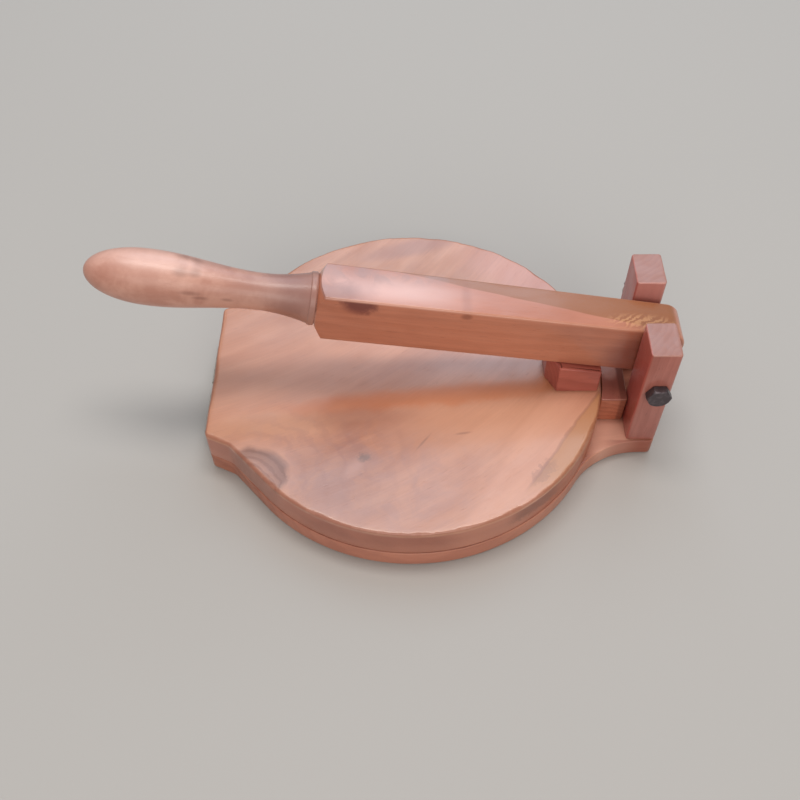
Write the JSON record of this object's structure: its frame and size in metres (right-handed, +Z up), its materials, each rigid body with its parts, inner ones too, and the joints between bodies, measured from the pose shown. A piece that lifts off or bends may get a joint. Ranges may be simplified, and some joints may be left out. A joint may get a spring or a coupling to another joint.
{
  "type": "roti press",
  "caption": "Wooden roti press: round hinged boards with a squared tab, a lever with a turned handle on a bolt between two posts, and a block under the lever.",
  "frame": {"origin": "centre of the round base board, on its underside", "axes": "+Z up, +X from the round board's centre to the tail with the uprights (the handle points along -X), +Y across"},
  "size_m": [0.2908, 0.203, 0.1138],
  "materials": {
    "base_wood": "varnished, glossy",
    "plate_wood": "varnished, glossy",
    "upright_wood": "varnished",
    "stop_wood": "varnished",
    "press_wood": "varnished",
    "lever_wood": "varnished, glossy",
    "black_steel": "blackened",
    "washer_steel": "zinc plated",
    "screw_steel": "zinc plated",
    "hinge_steel": "plain steel, dull",
    "hinge_pin_steel": "plain steel",
    "leaf_screw_steel": "zinc plated"
  },
  "bodies": {
    "base": {"base_board": "base_wood", "upright_near": "upright_wood", "upright_far": "upright_wood", "stop_block": "stop_wood", "pivot_bolt": "black_steel", "pivot_nut": "black_steel", "pivot_washer": "washer_steel", "upright_screw_1": "screw_steel", "upright_screw_2": "screw_steel", "upright_screw_3": "screw_steel", "upright_screw_4": "screw_steel", "stop_screw_1": "screw_steel", "stop_screw_2": "screw_steel", "base_leaf_near": "hinge_steel", "hinge_pin_near": "hinge_pin_steel", "base_leaf_far": "hinge_steel", "hinge_pin_far": "hinge_pin_steel", "base_leaf_screw_1": "leaf_screw_steel", "base_leaf_screw_2": "leaf_screw_steel", "base_leaf_screw_3": "leaf_screw_steel", "base_leaf_screw_4": "leaf_screw_steel"},
    "plate": {"top_plate": "plate_wood", "press_block": "press_wood", "plate_leaf_near": "hinge_steel", "plate_leaf_far": "hinge_steel", "plate_leaf_screw_1": "leaf_screw_steel", "plate_leaf_screw_2": "leaf_screw_steel", "plate_leaf_screw_3": "leaf_screw_steel", "plate_leaf_screw_4": "leaf_screw_steel"},
    "arm": {"lever_arm": "lever_wood"}
  },
  "joints": [
    {"name": "arm_hinge", "type": "hinge", "parent": "base", "child": "arm", "pos_m": [0.1216, 0, 0.0513], "axis": [0, 1, 0], "range_deg": [0, 176]},
    {"name": "plate_hinge", "type": "hinge", "parent": "base", "child": "plate", "pos_m": [-0.1078, 0, 0.01095], "axis": [0, -1, 0], "range_deg": [0, 115]}
  ],
  "couplings": [
    {"joint": "plate_hinge", "follows": "arm_hinge", "ratio": 0.11}
  ]
}
